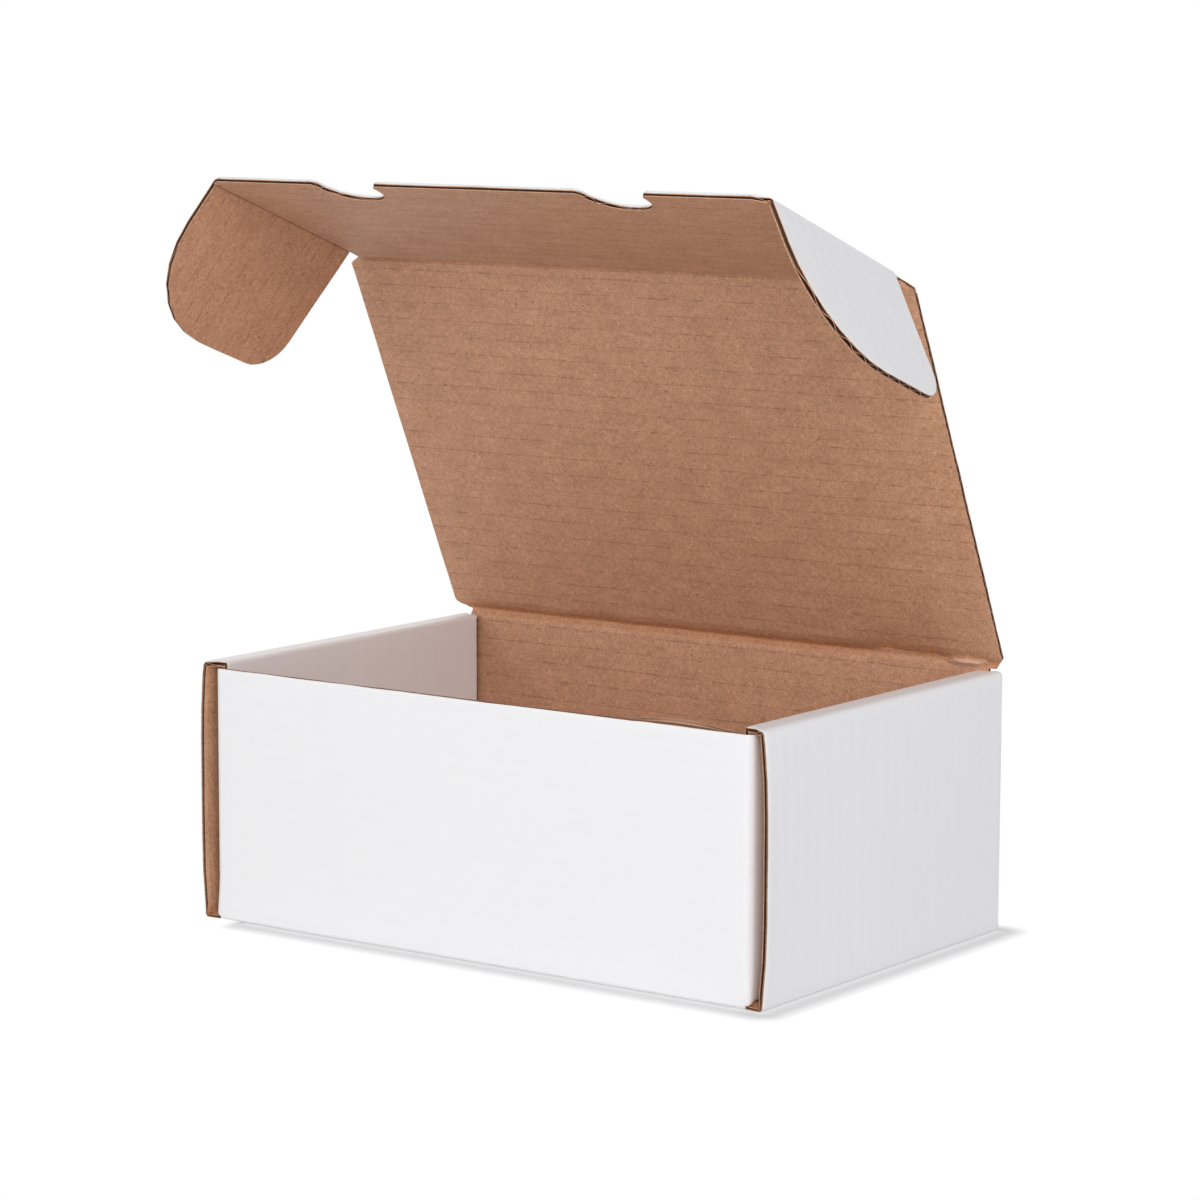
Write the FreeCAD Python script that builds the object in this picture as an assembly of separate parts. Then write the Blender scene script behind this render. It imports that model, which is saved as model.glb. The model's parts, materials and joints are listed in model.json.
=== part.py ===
"""Trading card storage box: a roll-end mailer folded from one sheet of corrugated board, whose
tuck flap closes over the outside of the front wall. The tray is the bottom with its four walls.
The lid, its tuck flap and the flap's two ears each turn on a crease, so each is its own solid.

Millimetres, +Z up, +X to the right, -Y to the front. The origin is the middle of the bottom's
underside. At rest the lid stands open, with the flap and the ears partly folded."""

import FreeCAD, Part
import math
import os

from FreeCAD import Vector

# --- board ---------------------------------------------------------------------------------
BOARD = 2.0             # thickness of the corrugated board
FOLD_RADIUS = 2.0       # outside of a fold
CREASE_RADIUS = 0.4     # inside of a fold
CUT_RADIUS = 2.0        # corners of a cut panel

# --- tray ----------------------------------------------------------------------------------
TRAY_WIDTH = 218.0      # over the outer side panels
TRAY_DEPTH = 137.0      # outside of the front wall to the outside of the back wall
SIDE_HEIGHT = 84.6      # to the top of the rolled side walls
CORNER_FLAP = 55.0      # length of a corner flap, from the outside of its wall
FLAP_CORNER_RADIUS = 10.0   # its free corners
CREASE_INSET = 4.3      # from a wall's end to the end of its bottom crease
EAR_FIT = 0.25          # each side of an ear pushed in behind the outer side panel
LAYER_GAP = 0.15        # two layers that lie on each other
EDGE_GAP = 0.3          # a cut edge that stops short of a panel
FLAP_FOOT_GAP = 0.4     # under a corner flap

# --- tabs that lock the rolled side walls to the bottom --------------------------------------
TAB_LENGTH = 26.0
TAB_SPACING = 74.0      # between the middles of a side's two tabs
TAB_FIT = 0.4           # round a tab in its slot
TAB_RISE = 0.3          # tab's end above the underside

# --- lid -----------------------------------------------------------------------------------
LID_OVERHANG = 1.0      # past each side of the tray
LID_RELIEF_LENGTH = 3.0     # corner reliefs, along the lid's side
LID_RELIEF_WIDTH = 4.5      # corner reliefs, along the crease
LID_OPEN = 65.0         # degrees above the closed lid, at rest
LID_REST_GAP = 0.1      # closed lid to the top of the side walls

# --- tuck flap -----------------------------------------------------------------------------
TUCK_TABLE_GAP = 5.7    # closed flap's edge to the table
TUCK_WALL_GAP = 0.2     # closed flap to the front wall
TUCK_OPEN = 135.0       # degrees inside, between the lid and the flap, at rest
NOTCH_RADIUS = 11.5     # thumb notches in the free edge
NOTCH_DEPTH = 15.0
NOTCH_SPACING = 102.0   # between the middles of the two notches
NOTCH_LIP = 2.0         # rounded lip where a notch meets the free edge

# --- ears ----------------------------------------------------------------------------------
EAR_REACH = 50.0        # from the crease to the straight lower edge
EAR_BACK_START = 6.5    # ear's crease, from the lid's crease
EAR_FRONT_GAP = 3.5     # ear's crease to the flap's free edge
EAR_BACK_SLANT = 2.5    # back edge leans forward
EAR_FRONT_BULGE = 1.5   # front edge swells past the crease
EAR_BACK_RADIUS = 13.0
EAR_FRONT_RADIUS = 33.0
EAR_LEFT_FOLD = 64.0    # degrees from flat, at rest
EAR_RIGHT_FOLD = 55.0

# --- creases that turn ---------------------------------------------------------------------
PIVOT_GAP = 0.1         # each panel's edge to the pivot line

POINT_TOLERANCE = 0.001     # two points nearer than this are one

# --- sizes that follow ---------------------------------------------------------------------
side_x = TRAY_WIDTH / 2                             # outside of the outer side panel
slot_x = side_x - BOARD                             # inside of the outer side panel
flap_x = slot_x - BOARD - 2 * EAR_FIT               # outside of the corner flaps
inner_x = flap_x - BOARD - LAYER_GAP                # outside of the inner side panel
room_x = inner_x - BOARD                            # white inside of the side wall
crease_x = flap_x - CREASE_INSET                    # end of the front and back creases

front_y = -TRAY_DEPTH / 2                           # outside of the front wall
back_y = TRAY_DEPTH / 2                             # outside of the back wall
inner_front = front_y + BOARD + EDGE_GAP            # front edge of the inner side panels
inner_back = back_y - BOARD - EDGE_GAP              # back edge of the inner side panels

strip_under = SIDE_HEIGHT - BOARD                   # underside of the rolled top strip
front_height = strip_under - LAYER_GAP
flap_foot = BOARD + FLAP_FOOT_GAP
hinge_height = SIDE_HEIGHT + BOARD + LID_REST_GAP

lid_x = side_x + LID_OVERHANG
hinge_x = lid_x - LID_RELIEF_WIDTH
lid_length = back_y - front_y + BOARD + TUCK_WALL_GAP
tuck_x = slot_x - EAR_FIT
tuck_depth = hinge_height - TUCK_TABLE_GAP
longest = 2 * (lid_x + TRAY_DEPTH)                  # more than any crease


def outline(corners):
    """A flat face in the XY plane from corners (x, y, radius), each rounded to its radius."""
    points = [Vector(x, y, 0) for x, y, radius in corners]
    stops = []
    edges = []
    for i, (x, y, radius) in enumerate(corners):
        corner = points[i]
        if radius == 0:
            stops.append((corner, corner))
            continue
        back = (points[i - 1] - corner).normalize()
        ahead = (points[(i + 1) % len(points)] - corner).normalize()
        half = back.getAngle(ahead) / 2
        start = corner + back * (radius / math.tan(half))
        end = corner + ahead * (radius / math.tan(half))
        middle = corner + (back + ahead).normalize() * (radius / math.sin(half) - radius)
        edges.append(Part.Arc(start, middle, end).toShape())
        stops.append((start, end))
    for i in range(len(stops)):
        leaving, arriving = stops[i - 1][1], stops[i][0]
        if leaving.distanceToPoint(arriving) > POINT_TOLERANCE:
            edges.append(Part.LineSegment(leaving, arriving).toShape())
    return Part.Face(Part.Wire(Part.__sortEdges__(edges)))


def sheet(corners, thickness, origin, along, across):
    """An outline given a thickness and placed: its X runs along, its Y across."""
    solid = outline(corners).extrude(Vector(0, 0, thickness))
    normal = along.cross(across)
    turn = FreeCAD.Rotation(along, across, normal, "XYZ")
    solid.Placement = FreeCAD.Placement(origin, turn)
    return solid


def box(x0, x1, y0, y1, z0, z1):
    return Part.makeBox(x1 - x0, y1 - y0, z1 - z0, Vector(x0, y0, z0))


def both_sides(shape):
    """A shape on the right with its mirror image on the left."""
    return [shape, shape.mirror(Vector(0, 0, 0), Vector(1, 0, 0))]


def mitre(length, edge, across, normal, along):
    """What a crease's 45 degree relief takes off the inner side of a panel, whose edge lies on
    the pivot line at edge and which runs across from it; length covers the edge."""
    spare = BOARD
    corners = [
        (-spare, -spare, 0),
        (PIVOT_GAP - spare, -spare, 0),
        (PIVOT_GAP + BOARD + spare, BOARD + spare, 0),
        (-spare, BOARD + spare, 0),
    ]
    return sheet(corners, length, edge - along * (length / 2), across, normal)


# --- tray ----------------------------------------------------------------------------------
def folded_section():
    """Bottom and both rolled side walls, as one strip of board folded eight times."""
    right = [
        (side_x, 0, FOLD_RADIUS),
        (side_x, SIDE_HEIGHT, FOLD_RADIUS),
        (room_x, SIDE_HEIGHT, FOLD_RADIUS),
        (room_x, BOARD + EDGE_GAP, 0),
        (inner_x, BOARD + EDGE_GAP, 0),
        (inner_x, strip_under, CREASE_RADIUS),
        (slot_x, strip_under, CREASE_RADIUS),
        (slot_x, BOARD, CREASE_RADIUS),
    ]
    left = [(-x, z, radius) for x, z, radius in reversed(right)]
    return sheet(right + left, TRAY_DEPTH, Vector(0, back_y, 0), Vector(1, 0, 0), Vector(0, 0, 1))


def strip_end(crease_end, edge):
    """Cut that sets the rolled strip and inner panel back to edge, from the outer crease's end."""
    beyond = math.copysign(BOARD, crease_end)
    corners = [
        (slot_x, crease_end + beyond, 0),
        (slot_x, crease_end, 0),
        (flap_x, edge, 0),
        (room_x - BOARD, edge, 0),
        (room_x - BOARD, crease_end + beyond, 0),
    ]
    low = Vector(0, 0, BOARD)
    return both_sides(sheet(corners, SIDE_HEIGHT, low, Vector(1, 0, 0), Vector(0, 1, 0)))


def wall_with_flaps(outside, inward, top):
    """Front or back wall whose ends fold round into the corner flaps; inward is +1 or -1 in Y."""
    inside = outside + inward * BOARD
    tip = outside + inward * CORNER_FLAP
    right = [
        (flap_x, outside, FOLD_RADIUS),
        (flap_x, tip, 0),
        (flap_x - BOARD, tip, 0),
        (flap_x - BOARD, inside, CREASE_RADIUS),
    ]
    left = [(-x, y, radius) for x, y, radius in reversed(right)]
    foot = Vector(0, 0, flap_foot)
    band = sheet(right + left, top - flap_foot, foot, Vector(1, 0, 0), Vector(0, 1, 0))
    near, far = sorted((outside, inside))
    panel = box(-crease_x, crease_x, near, far, 0, top)
    return band.fuse(panel)


def flap_corner_cuts(outside, inward):
    """Rounded free corners of the corner flaps, top and bottom."""
    tip = outside + inward * CORNER_FLAP
    start = tip - inward * FLAP_CORNER_RADIUS
    low, high = sorted((start, tip))
    block = box(flap_x - BOARD * 2, flap_x + BOARD, low, high, flap_foot, front_height)
    corners = [
        (start, flap_foot, 0),
        (tip, flap_foot, FLAP_CORNER_RADIUS),
        (tip, front_height, FLAP_CORNER_RADIUS),
        (start, front_height, 0),
    ]
    keep = sheet(corners, BOARD * 4, Vector(flap_x - BOARD * 2, 0, 0),
                 Vector(0, 1, 0), Vector(0, 0, 1))
    return both_sides(block.cut(keep))


def lock_tabs():
    """Each rolled side wall's two tabs, and the slots in the bottom that take them."""
    tabs = []
    slots = []
    for middle in (-TAB_SPACING / 2, TAB_SPACING / 2):
        low, high = middle - TAB_LENGTH / 2, middle + TAB_LENGTH / 2
        tabs += both_sides(box(room_x, inner_x, low, high, TAB_RISE, BOARD + EDGE_GAP + BOARD))
        slots += both_sides(box(room_x - TAB_FIT, inner_x + TAB_FIT,
                                low - TAB_FIT, high + TAB_FIT, -BOARD, BOARD + EDGE_GAP / 2))
    return tabs, slots


def make_tray():
    tabs, slots = lock_tabs()
    tray = folded_section()
    tray = tray.cut(strip_end(front_y, inner_front) + strip_end(back_y, inner_back) + slots)
    front = wall_with_flaps(front_y, 1, front_height)
    front = front.cut(flap_corner_cuts(front_y, 1))
    back = wall_with_flaps(back_y, -1, front_height)
    back = back.cut(flap_corner_cuts(back_y, -1))
    hinge_panel = box(-flap_x, flap_x, back_y - BOARD, back_y, front_height, hinge_height)
    hinge_panel = hinge_panel.cut(mitre(longest, Vector(0, back_y, hinge_height),
                                        Vector(0, 0, -1), Vector(0, -1, 0), Vector(-1, 0, 0)))
    tray = tray.fuse([front, back, hinge_panel] + tabs).removeSplitter()
    return tray.cut([bottom_crease(front_y, 1), bottom_crease(back_y, -1)])


def bottom_crease(outside, inward):
    """What the rounded bottom fold of the front or back wall leaves out of a square corner."""
    centre = outside + inward * FOLD_RADIUS
    low, high = sorted((outside, centre))
    corner = box(-crease_x, crease_x, low, high, 0, FOLD_RADIUS)
    fold = Part.makeCylinder(FOLD_RADIUS, 2 * crease_x, Vector(-crease_x, centre, FOLD_RADIUS),
                             Vector(1, 0, 0))
    return corner.cut(fold)


# --- lid, tuck flap and ears -----------------------------------------------------------------
def panel_axes(rise):
    """Directions of a panel that runs forward at rise degrees above level: along it, and the
    normal of its inner, kraft side."""
    angle = math.radians(rise)
    run = Vector(0, -math.cos(angle), math.sin(angle))
    return run, Vector(0, -math.sin(angle), -math.cos(angle))


RIGHT = Vector(1, 0, 0)
lid_pivot = Vector(0, back_y, hinge_height)
lid_run, lid_inner = panel_axes(LID_OPEN)
tuck_pivot = lid_pivot + lid_run * lid_length
tuck_run, tuck_inner = panel_axes(LID_OPEN - (180 - TUCK_OPEN))


def make_lid():
    shoulder = lid_length - LID_RELIEF_LENGTH
    right = [
        (hinge_x, 0, 0),
        (lid_x, LID_RELIEF_LENGTH, CREASE_RADIUS),
        (lid_x, shoulder, CREASE_RADIUS),
        (hinge_x, lid_length, 0),
    ]
    left = [(-x, y, radius) for x, y, radius in reversed(right)]
    lid = sheet(right + left, BOARD, lid_pivot, RIGHT, lid_run)
    return lid.cut([
        mitre(longest, lid_pivot, lid_run, lid_inner, lid_run.cross(lid_inner)),
        mitre(longest, tuck_pivot, -lid_run, lid_inner, lid_inner.cross(lid_run)),
    ])


def notched_edge():
    """Corners of the tuck flap's free edge, from right to left, with its two thumb notches."""
    corners = []
    for middle in (NOTCH_SPACING / 2, -NOTCH_SPACING / 2):
        bottom = tuck_depth - NOTCH_DEPTH
        corners += [
            (middle + NOTCH_RADIUS, tuck_depth, NOTCH_LIP),
            (middle + NOTCH_RADIUS, bottom, NOTCH_RADIUS),
            (middle - NOTCH_RADIUS, bottom, NOTCH_RADIUS),
            (middle - NOTCH_RADIUS, tuck_depth, NOTCH_LIP),
        ]
    return corners


def make_tuck_flap():
    corners = [(-tuck_x, 0, 0), (tuck_x, 0, 0), (tuck_x, tuck_depth, CUT_RADIUS)]
    corners += notched_edge() + [(-tuck_x, tuck_depth, CUT_RADIUS)]
    flap = sheet(corners, BOARD, tuck_pivot, RIGHT, tuck_run)
    ends = []
    for side in (1, -1):
        edge = tuck_pivot + RIGHT * (side * tuck_x)
        ends.append(mitre(longest, edge, RIGHT * -side, tuck_inner,
                          (RIGHT * -side).cross(tuck_inner)))
    hinge = mitre(longest, tuck_pivot, tuck_run, tuck_inner, tuck_run.cross(tuck_inner))
    return flap.cut(ends + [hinge])


def make_ear(side, fold):
    """side is +1 on the right and -1 on the left; fold is in degrees from flat."""
    angle = math.radians(fold)
    outward = RIGHT * side
    run = outward * math.cos(angle) + tuck_inner * math.sin(angle)
    inner = tuck_inner * math.cos(angle) - outward * math.sin(angle)
    crease = run.cross(inner)
    pivot = tuck_pivot + outward * tuck_x
    front = tuck_depth - EAR_FRONT_GAP
    corners = [
        (EAR_BACK_START, 0, 0),
        (EAR_BACK_START + EAR_BACK_SLANT, EAR_REACH, EAR_BACK_RADIUS),
        (front + EAR_FRONT_BULGE, EAR_REACH, EAR_FRONT_RADIUS),
        (front, 0, 0),
    ]
    toward_free_edge = 1 if crease.dot(tuck_run) > 0 else -1
    corners = [(s * toward_free_edge, reach, radius) for s, reach, radius in corners]
    ear = sheet(corners, BOARD, pivot, crease, run)
    return ear.cut(mitre(longest, pivot, run, inner, crease))


# --- write ---------------------------------------------------------------------------------
parts = {
    "tray": make_tray(),
    "lid": make_lid(),
    "tuck_flap": make_tuck_flap(),
    "ear_left": make_ear(-1, EAR_LEFT_FOLD),
    "ear_right": make_ear(1, EAR_RIGHT_FOLD),
}
os.makedirs("parts", exist_ok=True)
for name, shape in parts.items():
    shape.exportStep(f"parts/{name}.step")
    extent = shape.BoundBox
    print(f"{name}: {len(shape.Solids)} solid, valid {shape.isValid()}, "
          f"{shape.Volume / 1000:.1f} cm3, x {extent.XMin:.1f} to {extent.XMax:.1f}, "
          f"y {extent.YMin:.1f} to {extent.YMax:.1f}, z {extent.ZMin:.1f} to {extent.ZMax:.1f}")
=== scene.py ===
import json
import math

import bmesh
import bpy
import numpy as np
from mathutils import Matrix, Vector, noise


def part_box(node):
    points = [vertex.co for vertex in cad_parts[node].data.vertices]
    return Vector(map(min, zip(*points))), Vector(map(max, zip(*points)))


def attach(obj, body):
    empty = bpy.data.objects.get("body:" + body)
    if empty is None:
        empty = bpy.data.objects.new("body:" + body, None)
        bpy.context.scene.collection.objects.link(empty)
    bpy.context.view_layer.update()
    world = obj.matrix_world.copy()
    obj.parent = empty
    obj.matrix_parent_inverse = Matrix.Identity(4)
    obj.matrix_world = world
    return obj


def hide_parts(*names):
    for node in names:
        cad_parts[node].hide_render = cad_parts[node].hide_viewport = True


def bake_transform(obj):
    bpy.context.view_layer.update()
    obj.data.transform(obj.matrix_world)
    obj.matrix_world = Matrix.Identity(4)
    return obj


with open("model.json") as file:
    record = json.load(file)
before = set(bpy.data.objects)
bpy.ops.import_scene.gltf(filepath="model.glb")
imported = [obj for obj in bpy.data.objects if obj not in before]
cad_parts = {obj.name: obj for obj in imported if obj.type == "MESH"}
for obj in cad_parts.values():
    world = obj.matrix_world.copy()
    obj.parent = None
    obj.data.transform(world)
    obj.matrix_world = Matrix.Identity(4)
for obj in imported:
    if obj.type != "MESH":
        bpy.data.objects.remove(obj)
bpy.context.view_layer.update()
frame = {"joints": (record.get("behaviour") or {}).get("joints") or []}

# The tray's bottom and its two rolled side walls: one strip of single-wall corrugated board.
# Each wall goes up outside, over the top in a flat strip, and down again inside, where two
# tabs lock it into slots in the bottom. The white liner is outside, the kraft liner inside.
MM = 0.001
BOARD = 2.0
LINER = 0.28
FLUTE_PAPER = 0.2
FLUTE_PITCH = 6.3
CUTS_PER_FLUTE = 10
RIM_RINGS = (0.15, 0.3, 0.35)
CRUSH = 0.14
CRUSH_REACH = 0.6
ROLL = 0.15
ROLL_REACH = 0.25
ROLL_MOST = 0.85
RAGGED = (0.16, 0.05, 0.16)
RAGGED_SEED = 7
noise.seed_set(RAGGED_SEED)

hinges = {hinge["name"]: hinge for hinge in frame["joints"]}
tray_low, tray_high = (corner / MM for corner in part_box("tray"))
lid_hinge = Vector(hinges["lid_hinge"]["pos_m"]) / MM
LID_REST_GAP = 0.1
side_x, front_y, back_y = tray_high.x, tray_low.y, tray_high.y
side_top = lid_hinge.z - BOARD - LID_REST_GAP
EDGE_GAP = 0.3
LAYER_GAP = 0.15
EAR_FIT = 0.25
slot_x = side_x - BOARD
flap_x = slot_x - BOARD - 2 * EAR_FIT
room_x = flap_x - 2 * BOARD - LAYER_GAP
CREASE_INSET = 1.5
crease_x = flap_x - CREASE_INSET
FOLD_REACH = 1.3
PINCH = 0.42


def fold_section(start, heading, bends):
    """How a folded sheet runs in section: a function from (distance along it, depth under its
    outer face) to a point. Each bend is (distance, degrees, reach on either side). The board is
    pinched thinner in the middle of a bend."""
    corners = []
    corner, passed, angle = Vector(start), 0.0, math.radians(heading)
    for distance, degrees, reach in bends:
        corner = corner + (distance - passed) * Vector((math.cos(angle), math.sin(angle)))
        corners.append((distance, corner, angle, math.radians(degrees), reach))
        passed, angle = distance, angle + math.radians(degrees)

    def section(distance, depth):
        for at, corner, angle, turn, reach in corners:
            if distance < at + reach:
                break
        past = distance - at
        if past >= reach:
            angle = angle + turn
        ahead = Vector((math.cos(angle), math.sin(angle)))
        inward = Vector((-ahead.y, ahead.x))
        if abs(past) >= reach:
            return corner + ahead * past + inward * depth
        part = (past + reach) / (2 * reach)
        radius = reach / math.tan(turn / 2)
        centre = corner - ahead * reach + inward * radius
        spoke = inward.copy()
        spoke.rotate(Matrix.Rotation(turn * part, 2))
        pinch = 1 - PINCH * math.sin(math.pi * part)
        return centre - spoke * (radius - depth * pinch)

    return section


CORNER_SEGMENTS = 7
CORNER_MERGE = 0.02


def cut_outline(corners):
    """A flat face from its corners (u, v, radius), each rounded to its radius."""
    sheet = bmesh.new()
    points = [sheet.verts.new((u, v, 0)) for u, v, radius in corners]
    sheet.faces.new(points)
    for i, (u, v, radius) in enumerate(corners):
        if radius:
            here = Vector((u, v))
            back = Vector(corners[i - 1][:2]) - here
            ahead = Vector(corners[(i + 1) % len(corners)][:2]) - here
            reach = radius / math.tan(back.angle(ahead) / 2)
            bmesh.ops.bevel(sheet, geom=[points[i]], offset=reach, offset_type="OFFSET",
                            segments=CORNER_SEGMENTS, profile=0.5, affect="VERTICES",
                            material=-1)
    bmesh.ops.remove_doubles(sheet, verts=sheet.verts[:], dist=CORNER_MERGE)
    return sheet


def score(sheet, lines, axis):
    """Cuts a flat sheet's faces along straight lines across the given axis."""
    across = Vector((1, 0, 0)) if axis == "u" else Vector((0, 1, 0))
    for line in lines:
        bmesh.ops.bisect_plane(sheet, geom=sheet.verts[:] + sheet.edges[:] + sheet.faces[:],
                               dist=0.001, plane_co=across * line, plane_no=across)


def spread(low, high, step):
    """Evenly spaced values inside a range, at most step apart."""
    count = max(1, math.ceil((high - low) / step))
    return [low + (high - low) * i / count for i in range(1, count)]


def rim_distance(points, rim):
    """Distance of each flat point to the nearest cut edge."""
    start, run = rim[:, 0], rim[:, 1] - rim[:, 0]
    offset = points[:, None, :] - start
    share = np.clip((offset * run).sum(-1) / (run * run).sum(-1), 0, 1)
    return np.linalg.norm(offset - share[..., None] * run, axis=-1).min(1)


def rim_and_seams(sheet, joined):
    """A flat outline's cut edges, and the u and v where the rings inside them meet a seam."""
    rim, seam_u, seam_v = [], set(), set()
    for edge in sheet.edges:
        start, end = [point.co.xy for point in edge.verts]
        if not (joined and joined(*(start + end) / 2)):
            rim.append((start, end))
            continue
        run = (end - start).normalized()
        for ring in np.cumsum(RIM_RINGS):
            for at in (start + run * ring, end - run * ring):
                if abs(run.x) > abs(run.y):
                    seam_u.add(at.x)
                else:
                    seam_v.add(at.y)
    return rim, seam_u, seam_v


LAYERS = ("outer liner", "fluting", "inner liner")
GLUE = 0.01
LINER_STEP_V = 1.5 * FLUTE_PITCH
STEP_U = 11.0
RAGGED_SCALE = 0.35
UNEVEN_SCALE = 0.07
LAYER_SHIFT = 9.1
SHARP_DEGREES = 35


def laminate(name, corners, place, folds_u=(), folds_v=(), windows=(), joined=None, pressed=None,
             crest=0.0, crush=CRUSH, roll=lambda u: ROLL):
    """A piece of corrugated board of the given outline. u runs along the flutes, v across them
    and w down from the outer face; place puts each such point where it belongs. windows are
    slots (u0, u1, v0, v1), joined tells which edges go on into a neighbouring piece and so
    aren't cut, pressed gives a depth that a crease has changed, crest is a v at which the
    fluting touches the outer liner, crush is the share of its thickness that a cut edge loses,
    and roll is how far the knife has drawn the outer liner down over it."""
    board = bmesh.new()
    us = [corner[0] for corner in corners]
    vs = [corner[1] for corner in corners]
    window_us = [side for window in windows for side in window[:2]]
    window_vs = [side for window in windows for side in window[2:]]
    wave = (BOARD - 2 * LINER - FLUTE_PAPER) / 2 - GLUE
    for layer, paper_name in enumerate(LAYERS):
        fluted = paper_name == "fluting"
        sheet = cut_outline(corners)
        rim, seam_u, seam_v = rim_and_seams(sheet, joined)
        for ring in RIM_RINGS:
            bmesh.ops.inset_region(sheet, faces=[max(sheet.faces, key=lambda f: f.calc_area())],
                                   thickness=ring, use_boundary=True, use_even_offset=True)
        step_v = FLUTE_PITCH / CUTS_PER_FLUTE if fluted else LINER_STEP_V
        rows = spread(min(vs), max(vs), step_v)
        score(sheet, sorted({*window_vs, *folds_v, *seam_v, *rows}), "v")
        columns = spread(min(us), max(us), STEP_U)
        score(sheet, sorted({*window_us, *folds_u, *seam_u, *columns}), "u")
        inside = [face for face in sheet.faces
                  for u0, u1, v0, v1 in windows
                  if u0 < face.calc_center_median().x < u1
                  and v0 < face.calc_center_median().y < v1]
        bmesh.ops.delete(sheet, geom=inside, context="FACES")
        for point in sheet.verts:
            u, v, _ = point.co
            if point.is_boundary and not (joined and joined(u, v)):
                where = place(u, v, 0) * RAGGED_SCALE + Vector((0, 0, layer * LAYER_SHIFT))
                point.co += noise.noise_vector(where) * RAGGED[layer]
            turn = 2 * math.pi * (v - crest) / FLUTE_PITCH
            flute_top = LINER + GLUE + wave * (1 - math.cos(turn))
            point.co.z = (0, flute_top, BOARD - LINER)[layer]
        outer = sheet.faces[:]
        grown = bmesh.ops.extrude_face_region(sheet, geom=outer, use_keep_orig=True)["geom"]
        inner = [part for part in grown if isinstance(part, bmesh.types.BMFace)]
        bmesh.ops.translate(sheet, vec=(0, 0, FLUTE_PAPER if fluted else LINER),
                            verts=[part for part in grown if isinstance(part, bmesh.types.BMVert)])
        for face in sheet.faces:
            face.material_index = 2
        # The fluting and each liner's face turned towards it take the fluting material, whose dark
        # colour is painted shade for the hollows inside the board.
        for face in outer:
            face.material_index = 1 if layer else 0
        for face in inner if layer < 2 else []:
            face.material_index = 1
        layer_mesh = bpy.data.meshes.new(name)
        sheet.to_mesh(layer_mesh)
        sheet.free()
        board.from_mesh(layer_mesh)
        bpy.data.meshes.remove(layer_mesh)
    uv = board.loops.layers.uv.new("sheet")
    worn = board.verts.layers.float.new("pressed_in")
    for face in board.faces:
        for loop in face.loops:
            loop[uv].uv = (loop.vert.co.x, loop.vert.co.y - crest)
    flat = np.array([point.co for point in board.verts])
    near = rim_distance(flat[:, :2], np.array(rim))
    for point, (u, v, w), away in zip(board.verts, flat, near):
        uneven = 1 + 0.5 * noise.noise(place(u, v, 0) * UNEVEN_SCALE)
        loss = crush * uneven * math.exp(-(away / CRUSH_REACH) ** 2)
        w = BOARD / 2 + (w - BOARD / 2) * (1 - loss)
        drop = min(roll(u) * uneven, ROLL_MOST) * math.exp(-(away / ROLL_REACH) ** 2)
        w += drop * min(1, (BOARD - w) / (BOARD - LINER)) ** 2
        if pressed:
            flat_w = w
            w = pressed(u, v, w)
            point[worn] = flat_w - w
        point.co = place(u, v, w) * MM
    bmesh.ops.recalc_face_normals(board, faces=board.faces[:])
    mesh = bpy.data.meshes.new(name)
    board.to_mesh(mesh)
    board.free()
    mesh.shade_smooth()
    mesh.set_sharp_from_angle(angle=math.radians(SHARP_DEGREES))
    for material in (white_liner, fluting, kraft_liner):
        mesh.materials.append(material)
    piece = bpy.data.objects.new(name, mesh)
    bpy.context.scene.collection.objects.link(piece)
    return piece


def add_node(material, kind, settings=None, **inputs):
    """A shader node; an input is a value, or the output socket that feeds it."""
    tree = material.node_tree
    made = tree.nodes.new("ShaderNode" + kind)
    for key, value in (settings or {}).items():
        setattr(made, key, value)
    for key, value in inputs.items():
        socket = made.inputs[int(key[1:]) if key[0] == "i" and key[1:].isdigit()
                             else key.replace("_", " ")]
        if isinstance(value, bpy.types.NodeSocket):
            tree.links.new(value, socket)
        else:
            socket.default_value = value
    return made


def maths(material, operation, a, b=0.0, c=0.0):
    return add_node(material, "Math", {"operation": operation}, i0=a, i1=b, i2=c).outputs[0]


def grain(material, sheet, scale_u, scale_v, detail=2.0, offset=0.0):
    """Noise on the flat sheet with its own scale along and across the flutes, in 1/mm."""
    stretched = add_node(material, "Mapping", Vector=sheet, Scale=(scale_u, scale_v, 1),
                         Location=(offset, offset, offset))
    made = add_node(material, "TexNoise", Vector=stretched.outputs[0], Scale=1.0, Detail=detail,
                    Roughness=0.55)
    return made.outputs["Fac"]


def ramp(material, value, low, high):
    """0 below low, 1 above high."""
    made = add_node(material, "MapRange", {"interpolation_type": "SMOOTHSTEP"}, Value=value)
    made.inputs["From Min"].default_value = low
    made.inputs["From Max"].default_value = high
    return made.outputs[0]


def mix(material, share, a, b, mode="MIX"):
    made = add_node(material, "Mix", {"data_type": "RGBA", "blend_type": mode},
                    i0=share, i6=a, i7=b)
    return made.outputs[2]


def specks(material, sheet, spacing, radius, share, offset=0.0):
    """Scattered bits with ragged outlines: 1 inside one. share of the cells hold one."""
    ragged = add_node(material, "TexNoise", Vector=sheet, Scale=1.3, Detail=1.0)
    bent = add_node(material, "VectorMath", {"operation": "MULTIPLY_ADD"},
                    i0=ragged.outputs["Color"], i1=(1.6, 1.6, 0), i2=sheet)
    moved_on = add_node(material, "Mapping", Vector=bent.outputs[0], Location=(offset, offset, 0))
    cells = add_node(material, "TexVoronoi", {"voronoi_dimensions": "2D"},
                     Vector=moved_on.outputs[0], Scale=1 / spacing)
    chance = add_node(material, "SeparateColor", Color=cells.outputs["Color"])
    size = maths(material, "MULTIPLY", chance.outputs[1], radius / spacing)
    inside = maths(material, "LESS_THAN", cells.outputs["Distance"], size)
    return maths(material, "MULTIPLY", inside,
                 maths(material, "LESS_THAN", chance.outputs[0], share))


TONE_SPREAD = (0.5, 0.59, 0.68)


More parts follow.
